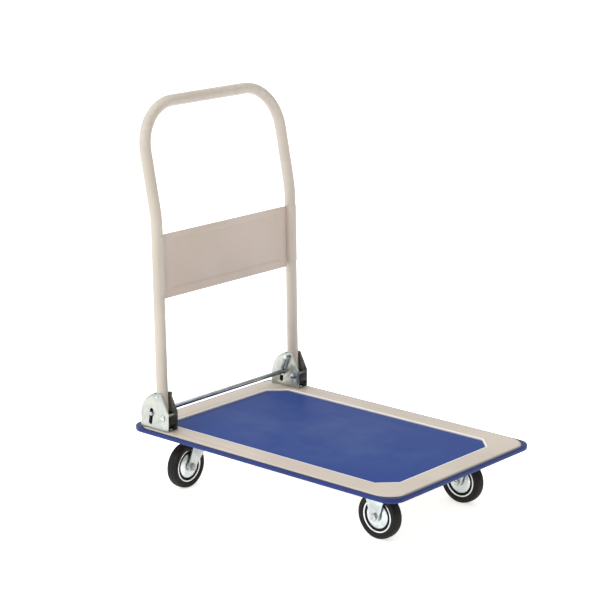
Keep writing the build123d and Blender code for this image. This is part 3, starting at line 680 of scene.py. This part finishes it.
for name, parts, node_name in (
    ("pivot_bolt_heads", heads, "pivot_bolts"), ("pivot_cap_nuts", caps, "pivot_nuts"),
    ("cheek_rivet_heads", rivets, "cheek_rivets"), ("spring_hook_studs", studs, "spring_studs"),
):
    piece = new_piece(name, *joined(*parts), fastener_zinc, 38)
    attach(piece, "platform")
    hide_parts(node_name)
dress(nodes["pivot_sleeves"], fastener_zinc)


# ---- The foot bar: a drawn and zinc-plated rod that slides in the slots of both brackets, with a
# push-on clip inside each cheek. Shoes have polished its top, and its underside is painted dark as
# shade.
bar_low, bar_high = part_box("foot_bar")
bar_x, bar_z = (bar_low.x + bar_high.x) * 500, (bar_low.z + bar_high.z) * 500
bar_half, bar_radius = bar_high.y * 1000, (bar_high.x - bar_low.x) * 500
finish = Finish("bar_zinc", metallic=1.0)
x, y, z = finish.axes()
underside_shade = 1 - z.above((bar_z - 3.4) / 1000, (bar_z - 1.0) / 1000)
drawn = finish.noise(0.0016, 4.0, 0.7, (9, 0.3, 9))
tread = (1 - y.math("ABSOLUTE").above(0.06, 0.19)) * finish.noise(0.02, 5.0, 0.65).above(0.35, 0.65)
rod = finish.mixed(tread, colour(166, 170, 172), colour(192, 195, 197))
rod = finish.mixed(finish.noise(0.004, 4.0, 0.7).above(0.6, 0.7) * 0.4, rod, colour(108, 110, 111))
# Painted shade: the underside of the rod is darkened to near-black.
rod = finish.mixed(underside_shade * 0.85, rod, colour(44, 44, 43))
bar_zinc = finish.paint(rod, 0.2 - tread * 0.05 + drawn * 0.1 + underside_shade * 0.2, drawn, 0.00002)
bar_section = [
    (0.0, -bar_half), (bar_radius - 1.2, -bar_half), (bar_radius - 0.5, -bar_half + 0.3),
    (bar_radius, -bar_half + 1.0), (bar_radius, bar_half - 1.0), (bar_radius - 0.5, bar_half - 0.3),
    (bar_radius - 1.2, bar_half), (0.0, bar_half),
]
bar = new_piece("foot_rod", *turned(bar_section, (bar_x, 0, bar_z), (0, 1, 0), 48), bar_zinc, 40)
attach(bar, "foot_bar")
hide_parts("foot_bar")
dress(nodes["bar_clips"], fastener_zinc)


# ---- The return springs: close-wound wire between a loop on the foot bar and a loop on the stud.
# Each is one length of plated spring wire, so one path runs through loop, hook, coils and loop.
def sweep_tree(name, label, radius, sides, rounds=0):
    """A tree that draws a round section along a path. With rounds, each corner of the path is
    first rounded to its own bend_radius, in that many steps."""
    tree, given, result = start_tree(
        name, (label, "Float", radius), ("Finish", "Material", None)
    )
    path = tree.nodes.new("GeometryNodeMeshToCurve")
    tree.links.new(given.outputs["Geometry"], path.inputs["Mesh"])
    if rounds:
        bend = tree.nodes.new("GeometryNodeInputNamedAttribute")
        bend.data_type = "FLOAT"
        bend.inputs["Name"].default_value = "bend_radius"
        rounded = tree.nodes.new("GeometryNodeFilletCurve")
        rounded.mode = "POLY"
        rounded.inputs["Count"].default_value = rounds
        tree.links.new(path.outputs[0], rounded.inputs["Curve"])
        tree.links.new(bend.outputs["Attribute"], rounded.inputs["Radius"])
        path = rounded
    section = tree.nodes.new("GeometryNodeCurvePrimitiveCircle")
    section.inputs["Resolution"].default_value = sides
    drawn = tree.nodes.new("GeometryNodeCurveToMesh")
    drawn.inputs["Fill Caps"].default_value = True
    tree.links.new(given.outputs[label], section.inputs["Radius"])
    tree.links.new(path.outputs[0], drawn.inputs["Curve"])
    tree.links.new(section.outputs[0], drawn.inputs["Profile Curve"])
    finish_tree(tree, given, result, drawn.outputs[0])
    return tree


wire_tree = sweep_tree("wire_along_path", "Wire Radius", 0.0006, 10)
spring_steel = zinc(
    "spring_wire_zinc", colour(196, 200, 200), colour(168, 172, 173), 0.26, (3, 3, 3)
)
wire, coil_radius, coils, hook = 0.6, 3.9, 17, 2.3
for side, sign in (("left", 1), ("right", -1)):
    spring_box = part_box(f"{side}_return_spring")
    spring_y = (spring_box[0].y + spring_box[1].y) * 500
    foot, head = Vector((bar_x, spring_y, bar_z)), Vector((stud_x, spring_y, stud_z))
    along = (head - foot).normalized()
    sideways = Vector((0, 1, 0))
    lean = along.cross(sideways)
    foot_loop, head_loop = bar_radius + 0.1 + wire, 3.0 + 0.1 + wire
    wire_path = []
    for step in range(29):
        angle = math.radians(-330 + 330 * step / 28)
        wire_path.append(foot + (along * math.cos(angle) + lean * math.sin(angle)) * foot_loop)
    start = foot + along * (foot_loop + hook)
    end = head - along * (head_loop + hook)
    run = (end - start).length
    for step in range(coils * 20 + 1):
        angle = math.tau * step / 20
        spread = coil_radius * min(1, step / 8, (coils * 20 - step) / 8)
        around = lean * math.cos(angle) + sideways * math.sin(angle)
        wire_path.append(start + along * run * step / (coils * 20) + around * spread)
    for step in range(25):
        angle = math.radians(330 * step / 24)
        wire_path.append(head - (along * math.cos(angle) + lean * math.sin(angle)) * head_loop)
    path_mesh = bpy.data.meshes.new(f"{side}_spring_path")
    path_mesh.from_pydata(
        [point / 1000 for point in wire_path], [(k, k + 1) for k in range(len(wire_path) - 1)], []
    )
    spring = stand(f"{side}_spring_coils", path_mesh)
    shape = grow(spring, wire_tree, **{"Wire Radius": wire / 1000, "Finish": spring_steel})
    spring.data = shape
    held, pulled = (head - along * 5) / 1000, (foot + along * 7) / 1000
    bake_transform(spring)
    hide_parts(f"{side}_return_spring")


# ---- The handle: one steel tube bent into a hoop whose upper part leans back, powder-coated
# beige and greyed where hands take it.
tube_tree = sweep_tree("tube_along_path", "Tube Radius", 0.0127, 48, 26)
handle_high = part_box("handle_tube")[1]
tube_radius, lower_lean, upper_lean = 12.7, math.radians(1.2), math.radians(11.5)
tube_setback, tube_rise, bend_z = 15.6, 6.5, 600.0
tube_x, tube_end = pivot.x - tube_setback, pivot.z + tube_rise
grip_z = handle_high.z * 1000 - tube_radius
bend_x = tube_x - (bend_z - tube_end) * math.tan(lower_lean)
grip_x = bend_x - (grip_z - bend_z) * math.tan(upper_lean)
hoop = [(tube_x, rail_y, tube_end), (bend_x, rail_y, bend_z), (grip_x, rail_y, grip_z)]
hoop += [(along, -across_y, up) for along, across_y, up in reversed(hoop)]
hoop_mesh = bpy.data.meshes.new("hoop_path")
hoop_mesh.from_pydata([Vector(point) / 1000 for point in hoop], [(k, k + 1) for k in range(5)], [])
radii = hoop_mesh.attributes.new("bend_radius", "FLOAT", "POINT")
lean_bend, corner_bend = 0.320, 0.100
radii.data.foreach_set("value", [0.0, lean_bend, corner_bend, corner_bend, lean_bend, 0.0])


def held_edges(finish):
    """1 on the grip and its shoulders, where hands rub, 0 below."""
    return finish.axes()[2].above(0.70, 0.82)


handle_paint = powder_coat(
    "handle_powder_coat", colour(188, 179, 167), colour(180, 171, 158), colour(176, 166, 155),
    held_edges, worn=0.8,
)
handle = stand("handle_hoop", hoop_mesh)
shape = grow(handle, tube_tree, **{"Tube Radius": tube_radius / 1000, "Finish": handle_paint})
shape.set_sharp_from_angle(angle=math.radians(40))
handle.data = shape
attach(handle, "handle")
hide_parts("handle_tube")


# ---- The panel: a thin steel sheet between the rails, pressed with a shallow field, hemmed along
# its top and bottom edges and wrapped round the front of both rails. It shares the rails' paint;
# its flat is coloured a little pinker and darker as painted shade, and the wraps keep the rails'
# colour.
panel_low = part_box("handle_panel")[0]
panel_bottom, panel_height, panel_sheet = panel_low.z * 1000 + 0.2, 141.0, 1.2
panel_x = tube_x - (panel_bottom - tube_end) * math.tan(lower_lean)
rise = Vector((-math.sin(lower_lean), 0, math.cos(lower_lean)))
front = Vector((math.cos(lower_lean), 0, math.sin(lower_lean)))
wrap_inner, wrap_angle, flange_short = tube_radius + 0.05, 117.0, 13.0
web_edge = rail_y - wrap_inner


def rail_wraps(finish):
    """1 where the sheet is wrapped round a rail and shares its coat, 0 on the flat."""
    side = finish.axes()[1].math("ABSOLUTE")
    return side.above(web_edge / 1000 - 0.0005, web_edge / 1000 + 0.0015)


# The flat's pinker, darker colour is painted shade; the wraps' mark gives back the rails' colour.
panel_shaded_paint = powder_coat(
    "panel_powder_coat", colour(190, 175, 163), colour(183, 168, 155), colour(212, 202, 194),
    marks=((rail_wraps, colour(186, 177, 165)),),
)


def field_depth(across_y, up):
    """How far the pressed field stands back at a place on the panel."""
    def ramp(distance):
        share = min(max(distance / 4.0, 0), 1)
        return share * share * (3 - 2 * share)
    inside = min(ramp(web_edge - 26 - abs(across_y)), ramp(up - 17), ramp(panel_height - 12 - up))
    return 2.0 * inside


def panel_row(face):
    """Positions across the panel, from one wrap's end to the other's: (y, forward) pairs."""
    row = []
    turn_radius = wrap_inner + (panel_sheet if face > 0 else 0.0)
    for k in range(13):
        angle = math.radians(wrap_angle * (1 - k / 12))
        row.append((rail_y - turn_radius * math.cos(angle), turn_radius * math.sin(angle)))
    steps = 44
    inner = web_edge - 3.0
    flat = panel_sheet / 2 * face
    for k in range(steps + 1):
        row.append((inner - 2 * inner * k / steps, flat))
    return row + [(-across_y, ahead) for across_y, ahead in reversed(row[:13])]


def panel_point(across_y, ahead, up):
    base = Vector((panel_x, 0, panel_bottom))
    return base + rise * up + front * ahead + Vector((0, across_y, 0))


heights = [
    0.0, 1.0, 4.0, 9.0, 13.0, 17.0, 18.5, 20.0, 21.5, 23.5, 40.0, 70.0, 100.0,
    122.0, 124.0, 126.0, 127.5, 129.0, 133.0, 137.0, 140.0, 141.0,
]
panel_rows = {}
for face in (1, -1):
    rows = []
    for up in heights:
        row = []
        for across_y, ahead in panel_row(face):
            lift = up
            if abs(across_y) > web_edge - 1.5:
                lift = max(up, flange_short + (up - 13) * 0.02) if up < 20 else up
            depth = field_depth(across_y, up) if abs(across_y) < web_edge - 3.5 else 0.0
            edge = 0.25 * max(0, 1 - min(up, panel_height - up) / 1.0)
            row.append(panel_point(across_y, ahead - depth - edge * face, lift))
        rows.append(row)
    panel_rows[face] = rows
flat_rows = panel_rows[1] + [panel_rows[-1][k] for k in range(len(heights) - 1, -1, -1)]
panel_points = [point for row in flat_rows for point in row]
width = len(flat_rows[0])
panel_faces = []
for level in range(len(flat_rows)):
    after = (level + 1) % len(flat_rows)
    for k in range(width - 1):
        here, there = level * width + k, after * width + k
        panel_faces.append((here, here + 1, there + 1, there))
last = len(heights)
for k in range(last - 1):
    levels = (k, k + 1, 2 * last - 1 - k, 2 * last - 2 - k)
    low, high, back, back_up = (level * width for level in levels)
    end = width - 1
    panel_faces.append((low, high, back_up, back))
    panel_faces.append((low + end, back + end, back_up + end, high + end))
for up_low in (0.15, panel_height - 12.15):
    hem_half, start = web_edge - 14.0, len(panel_points)
    hem = [
        (-0.6, 0.0), (-1.15, 0.0), (-1.7, 0.5), (-1.8, 1.2),
        (-1.8, 10.8), (-1.7, 11.5), (-1.15, 12.0), (-0.6, 12.0),
    ]
    for across_y in (-hem_half, hem_half):
        panel_points += [panel_point(across_y, ahead - 0.05, up_low + up) for ahead, up in hem]
    panel_faces += [
        (start + k, start + (k + 1) % 8, start + 8 + (k + 1) % 8, start + 8 + k) for k in range(8)
    ]
    panel_faces += [tuple(range(start, start + 8))[::-1], tuple(range(start + 8, start + 16))]
panel = new_piece("panel_sheet", panel_points, panel_faces, panel_shaded_paint, 50)
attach(panel, "handle")
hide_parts("handle_panel")


# ---- The feet: glass-filled nylon mouldings, a plug up the rail and a saddle on the pivot sleeve,
# held by a steel rivet from behind. The black skin is finely textured and greyed by rubbing.
finish = Finish("foot_nylon", specular_ior_level=0.4)
spark = finish.noise(0.0007, 2.0, 0.6)
rub = finish.noise(0.009, 5.0, 0.65).above(0.5, 0.75)
black = finish.mixed(rub, colour(24, 24, 25), colour(48, 47, 46))
foot_nylon = finish.paint(black, 0.42 + rub * 0.16, spark, 0.00006)
for side in ("left", "right"):
    softened(f"{side}_foot", 0.5, foot_nylon)
softened("foot_rivets", 0.2, fastener_zinc)


# ---- The casters' steelwork: mounting plates and forks bent from zinc-plated strip, dull and
# cloudy with drawn lines down the legs, bolted up to studs welded under the deck.
fork_zinc = zinc(
    "fork_zinc", colour(204, 210, 210), colour(176, 184, 186), 0.26, (6, 6, 0.6), 0.00004
)
for name in (
    "front_left_fork", "front_right_fork", "rear_left_fork", "rear_right_fork",
    "rear_left_top_plate", "rear_right_top_plate",
):
    softened(name, 0.4, fork_zinc)
for side in ("left", "right"):
    dress(nodes[f"rear_{side}_kingpin"], fastener_zinc)
    dress(nodes[f"rear_{side}_race_cup"], fork_zinc)
    dress(nodes[f"rear_{side}_balls"], fastener_zinc)

nut_low, nut_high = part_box("caster_nuts")
stud_floor, stud_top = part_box("caster_studs")[0].z * 1000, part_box("caster_studs")[1].z * 1000
stud_reach_x, stud_reach_y, caster_spots = 38.0, 27.0, []
for plate in ("front_left_fork", "front_right_fork", "rear_left_top_plate", "rear_right_top_plate"):
    low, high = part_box(plate)
    middle = Vector((low.x + high.x, low.y + high.y, 0)) * 500
    caster_spots += [
        (middle.x + ahead * stud_reach_x, middle.y + aside * stud_reach_y, 0)
        for ahead in (1, -1) for aside in (1, -1)
    ]
unit = new_piece(
    "caster_nut_unit",
    *turned(hexagon(13.0, nut_low.z * 1000, nut_high.z * 1000, 4.05), *upright, 48),
    fastener_zinc,
)
set_out(
    "caster_hex_nuts", unit, caster_spots, fastener_zinc, "platform",
    ["caster_nuts"],
)
thread = [(0.0, stud_floor), (3.2, stud_floor)]
while thread[-1][1] < stud_top - 1.4:
    thread += [(4.0, thread[-1][1] + 0.6), (3.5, thread[-1][1] + 1.2)]
thread += [(4.0, stud_top), (0.0, stud_top)]
unit = new_piece("stud_unit", *turned(thread, *upright, 20), fastener_zinc)
set_out(
    "caster_thread_studs", unit, caster_spots, fastener_zinc, "platform",
    ["caster_studs"],
)


# ---- The wheels: two pressed zinc discs grip a solid, near-black tyre with two shallow grooves,
# and turn on a nylon bush round the axle, a hexagon-headed bolt with a washer and nut outside
# the fork. The discs' ring groove is painted near-black as shade, and dust lies on the rubber.
finish = Finish("tyre_rubber", specular_ior_level=0.22)
bloom = finish.noise(0.01, 5.0, 0.65)
dust = finish.noise(0.0022, 4.0, 0.7).above(0.52, 0.74)
rubber = finish.mixed(bloom.above(0.35, 0.7), colour(14, 12, 11), colour(25, 22, 20))
rubber = finish.mixed(dust * 0.25, rubber, colour(62, 57, 52))
tyre_rubber = finish.paint(rubber, 0.5 + bloom * 0.14 + dust * 0.1, dust + bloom, 0.00008)
rim_zinc = zinc("rim_zinc", colour(224, 229, 230), colour(196, 204, 206), 0.16, (3, 3, 3))
# Painted shade for the discs' ring groove: mottled near-black.
finish = Finish("groove_grime", specular_ior_level=0.3)
groove_mottle = finish.noise(0.003, 5.0, 0.7)
shade_and_grease = finish.mixed(groove_mottle.above(0.4, 0.7), colour(16, 16, 16), colour(44, 41, 38))
groove_grime = finish.paint(shade_and_grease, 0.5 + groove_mottle * 0.2, groove_mottle, 0.0002)
finish = Finish("hub_nylon", specular_ior_level=0.4)
shade_and_grease = finish.noise(0.004, 4.0, 0.7).above(0.5, 0.7)
bush = finish.mixed(shade_and_grease, colour(206, 202, 190), colour(120, 112, 98))
hub_nylon = finish.paint(bush, 0.4 - shade_and_grease * 0.12, finish.noise(0.0012), 0.00004)

half_width, fork_half = 12.5, 19.0
tyre_side = [
    (48.4, 10.5), (47.4, 11.4), (46.2, 12.1), (45.0, 12.5), (44.4, 12.15), (43.6, 12.15),
    (43.0, 12.5), (40.6, 12.5), (39.0, 12.2), (37.2, 11.2), (36.2, 10.3),
]
crown = [
    (0.0, 50.0), (2.6, 49.94), (3.1, 49.2), (3.9, 49.2), (4.4, 49.83), (7.2, 49.42), (9.2, 48.9),
]
tyre_section = [(radius, along) for radius, along in reversed(tyre_side)]
tyre_section += [(radius, along) for along, radius in reversed(crown)]
tyre_section += [(radius, -along) for along, radius in crown[1:]]
tyre_section += [(radius, -along) for radius, along in tyre_side]


def pressed_disc(way):
    """The section of one wheel half: hub flange, dished disc, groove and the tyre's seat."""
    outer = [
        (9.06, 12.7), (16.0, 12.7), (17.6, 12.6), (19.6, 12.15), (25.4, 10.5), (26.6, 9.9),
        (27.3, 8.9), (27.6, 7.0), (28.0, 5.6), (29.0, 5.25), (30.8, 5.25), (31.7, 5.6), (32.1, 7.0),
        (32.5, 9.4), (33.1, 10.2), (34.0, 10.45), (35.6, 10.45), (36.2, 10.0), (36.2, 0.2),
    ]
    inner = [
        (34.7, 0.2), (34.7, 8.7), (34.3, 8.95), (33.9, 8.6), (33.5, 5.4), (32.6, 4.2), (31.2, 3.75),
        (28.4, 3.75), (27.0, 4.2), (26.2, 5.6), (25.9, 8.2), (25.2, 9.0), (19.2, 10.65),
        (17.2, 11.15), (9.06, 11.2),
    ]
    return [(radius, way * along) for radius, along in outer + inner]


for wheel in ("front_left", "front_right", "rear_left", "rear_right"):
    low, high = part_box(f"{wheel}_tyre")
    hub = (low + high) * 500
    bolt_low, bolt_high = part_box(f"{wheel}_axle")
    axle_box = (bolt_high - bolt_low) * 1000
    spindle = Vector((1, 0, 0)) if axle_box.x > axle_box.y else Vector((0, 1, 0))
    if wheel == "rear_right":
        spindle = Vector((math.cos(math.radians(2)), math.sin(math.radians(2)), 0))
    middle = (bolt_low + bolt_high) * 500
    if (middle - hub).dot(spindle) < 0:
        spindle = -spindle
    nut_body = "platform" if wheel.startswith("front") else f"{wheel}_swivel"
    wheel_body = f"{wheel}_wheel"
    bolt = [(0.0, -fork_half - 0.3), (4.0, -fork_half - 0.3)]
    along = fork_half + 0.5
    bolt += [(4.0, along)]
    while along < fork_half + 7.2:
        bolt += [(3.6, along + 0.5), (4.0, along + 1.0)]
        along += 1.0
    bolt += [(3.3, fork_half + 8.5), (0.0, fork_half + 8.5)]
    head = hexagon(13.0, -fork_half - 5.3, -fork_half, 0.5)
    piece = new_piece(
        f"{wheel}_axle_bolt",
        *joined(turned(bolt, hub, spindle, 32), turned(head, hub, spindle, 48)),
        fastener_zinc, 35,
    )
    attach(piece, nut_body)
    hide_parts(f"{wheel}_axle")
    washer = [
        (4.05, fork_half), (8.0, fork_half), (8.0, fork_half + 0.9), (7.7, fork_half + 1.2),
        (4.05, fork_half + 1.2),
    ]
    nut = hexagon(13.0, fork_half + 1.2, fork_half + 6.8, 4.05)
    piece = new_piece(
        f"{wheel}_nut_and_washer",
        *joined(turned(washer, hub, spindle, 48), turned(nut, hub, spindle, 48)),
        fastener_zinc, 35,
    )
    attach(piece, nut_body)
    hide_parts(f"{wheel}_axle_nut")
    bush_half = half_width + 3.7
    bush = [
        (4.05, -bush_half + 0.4), (4.5, -bush_half), (8.4, -bush_half), (9.0, -bush_half + 0.6),
        (9.0, bush_half - 0.6), (8.4, bush_half), (4.5, bush_half), (4.05, bush_half - 0.4),
    ]
    for name, section, node_name, material, slot in (
        ("tyre_ring", tyre_section, "tyre", tyre_rubber, "tyre"),
        ("outer_disc", pressed_disc(1), "outer_rim", rim_zinc, "rim_zinc"),
        ("inner_disc", pressed_disc(-1), "inner_rim", rim_zinc, "rim_zinc"),
        ("bush", bush, "hub", hub_nylon, "hub_nylon"),
    ):
        piece = new_piece(f"{wheel}_{name}", *turned(section, hub, spindle, 96), material, 32)
        # Faces in the discs' ring groove take the near-black painted shade.
        if slot == "rim_zinc":
            piece.data.materials.append(groove_grime)
            for face in piece.data.polygons:
                arm = face.center * 1000 - hub
                out = abs(arm.dot(spindle))
                reach = (arm - spindle * arm.dot(spindle)).length
                face.material_index = int(27.2 < reach < 32.3 and out < 8.6)
        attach(piece, wheel_body)
        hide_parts(f"{wheel}_{node_name}")


# ---- The stage: a pale floor, soft studio light and the camera.
floor_mesh = bpy.data.meshes.new("floor")
floor_mesh.from_pydata([(-60, -60, 0), (60, -60, 0), (60, 60, 0), (-60, 60, 0)], [], [(0, 1, 2, 3)])
floor = stand("floor", floor_mesh)
finish = Finish("floor_paper", specular_ior_level=0.0, emission_strength=0.6)
finish.shader.inputs["Emission Color"].default_value = (1.0, 1.0, 1.0, 1.0)
dress(floor, finish.paint(colour(248, 248, 248), 0.9))

world = bpy.data.worlds.new("studio")
world.use_nodes = True
bpy.context.scene.world = world
sky = world.node_tree
facing = sky.nodes.new("ShaderNodeTexCoord")
toward = sky.nodes.new("ShaderNodeVectorMath")
toward.operation = "DOT_PRODUCT"
toward.inputs[1].default_value = Vector((-0.62, -0.52, 0.58)).normalized()
glow = sky.nodes.new("ShaderNodeMapRange")
glow.inputs["From Min"].default_value, glow.inputs["From Max"].default_value = -0.7, 0.8
glow.inputs["To Min"].default_value, glow.inputs["To Max"].default_value = 0.3, 1.3
seen = sky.nodes.new("ShaderNodeLightPath")
either = sky.nodes.new("ShaderNodeMix")
either.inputs["B"].default_value = 1.05
sky.links.new(facing.outputs["Generated"], toward.inputs[0])
sky.links.new(toward.outputs["Value"], glow.inputs["Value"])
sky.links.new(seen.outputs["Is Camera Ray"], either.inputs["Factor"])
sky.links.new(glow.outputs["Result"], either.inputs["A"])
sky.links.new(either.outputs["Result"], sky.nodes["Background"].inputs["Strength"])
sky.nodes["Background"].inputs["Color"].default_value = (1.0, 1.0, 1.0, 1.0)
bpy.context.scene.view_settings.view_transform = "Standard"


def soft_box(name, place, aim, size, power):
    """A large square lamp aimed at a point."""
    lamp = bpy.data.lights.new(name, "AREA")
    lamp.shape, lamp.size, lamp.energy = "SQUARE", size, power
    holder = stand(name, lamp)
    holder.location = place
    toward = Vector(aim) - Vector(place)
    holder.rotation_euler = toward.to_track_quat("-Z", "Y").to_euler()


soft_box("key", (-1.2, -3.2, 3.2), (0, 0, 0.3), 2.4, 46)
soft_box("top", (0.2, 0.4, 3.6), (0, 0, 0.2), 2.6, 26)

view = bpy.data.cameras.new("view")
view.lens, view.sensor_width = 119.3, 36.0
camera = stand("view", view)
camera.location = (2.638, -3.122, 1.486)
gaze = Vector((-0.636, 0.730, -0.250))
camera.rotation_euler = gaze.to_track_quat("-Z", "Y").to_euler()
bpy.context.scene.camera = camera
